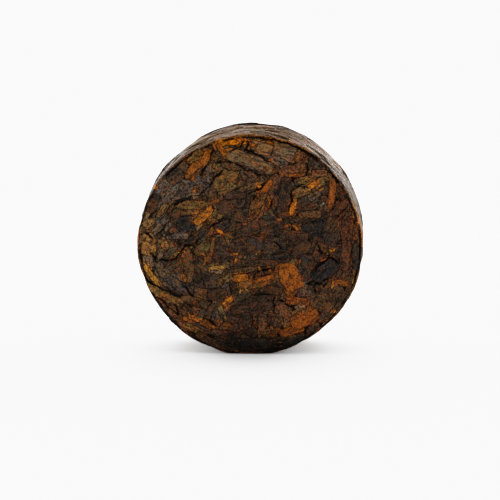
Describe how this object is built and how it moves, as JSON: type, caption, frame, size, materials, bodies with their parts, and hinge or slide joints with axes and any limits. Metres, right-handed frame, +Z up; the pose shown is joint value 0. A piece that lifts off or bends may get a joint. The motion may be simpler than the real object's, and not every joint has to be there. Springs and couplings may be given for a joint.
{
  "type": "mini tuocha",
  "caption": "Small coin of dark ripe tea leaves pressed hard in a round mould, standing on its rim on a small flat spot.",
  "frame": {"origin": "middle of the underside of the part's box, on the flat spot that it stands on", "axes": "+Z up, +Y along the coin's axis from the shown face to the back face, +X across the face"},
  "size_m": [0.03, 0.0116, 0.0298],
  "materials": {
    "pressed_tea": "dry pressed tea leaves, dark brown with rust and gold buds, faint sheen"
  },
  "bodies": {
    "root": {"tea_cake": "pressed_tea"}
  },
  "joints": []
}
